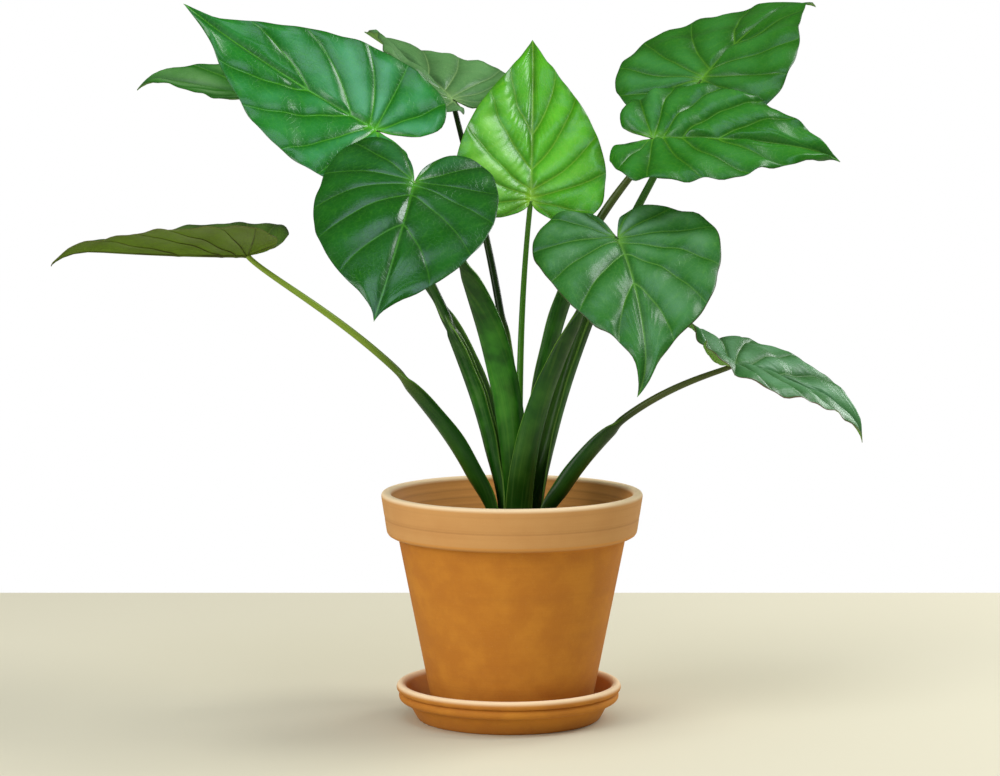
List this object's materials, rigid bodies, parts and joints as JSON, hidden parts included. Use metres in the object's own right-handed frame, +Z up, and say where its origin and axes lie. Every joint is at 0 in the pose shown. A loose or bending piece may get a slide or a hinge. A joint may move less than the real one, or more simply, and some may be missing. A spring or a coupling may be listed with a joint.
{
  "type": "potted plant",
  "caption": "Alocasia with large heart-shaped leaves on sheathed stems, growing in a banded clay pot that stands on a clay saucer.",
  "frame": {"origin": "on the pot's axis, on the surface that the saucer stands on", "axes": "+Z up along the pot's axis, +X along the spread of the leaves, with the leaves' upper sides mostly turned to -Y"},
  "size_m": [0.6518, 0.3531, 0.5746],
  "materials": {
    "saucer_clay": "unglazed fired clay, slightly weathered",
    "terracotta": "unglazed fired clay, matte, with fine turning rings",
    "potting_soil": "moist crumbly bark-based potting mix",
    "crown_tissue": "fibrous, matte",
    "leaf_low_left": "waxy, softly glossy leaf with paler veins",
    "leaf_upper_left": "waxy, softly glossy leaf with paler veins",
    "leaf_back_left": "waxy, softly glossy leaf with paler veins",
    "leaf_back_center": "waxy, softly glossy leaf with paler veins",
    "leaf_front_left": "waxy, softly glossy leaf with paler veins",
    "leaf_center_new": "waxy, softly glossy leaf with paler veins",
    "leaf_back_right": "waxy, softly glossy leaf with paler veins",
    "leaf_upper_right": "waxy, softly glossy leaf with paler veins",
    "leaf_front_right": "waxy, softly glossy leaf with paler veins",
    "leaf_low_right": "waxy, softly glossy leaf with paler veins",
    "stem_green": "smooth, waxy, slightly glossy"
  },
  "bodies": {
    "root": {"saucer": "saucer_clay", "pot": "terracotta", "soil": "potting_soil", "crown": "crown_tissue", "leaf_low_left": "leaf_low_left", "stem_low_left": "stem_green", "leaf_upper_left": "leaf_upper_left", "stem_upper_left": "stem_green", "leaf_back_left": "leaf_back_left", "stem_back_left": "stem_green", "leaf_back_center": "leaf_back_center", "stem_back_center": "stem_green", "leaf_front_left": "leaf_front_left", "stem_front_left": "stem_green", "leaf_center_new": "leaf_center_new", "stem_center_new": "stem_green", "leaf_back_right": "leaf_back_right", "stem_back_right": "stem_green", "leaf_upper_right": "leaf_upper_right", "stem_upper_right": "stem_green", "leaf_front_right": "leaf_front_right", "stem_front_right": "stem_green", "leaf_low_right": "leaf_low_right", "stem_low_right": "stem_green"}
  },
  "joints": []
}
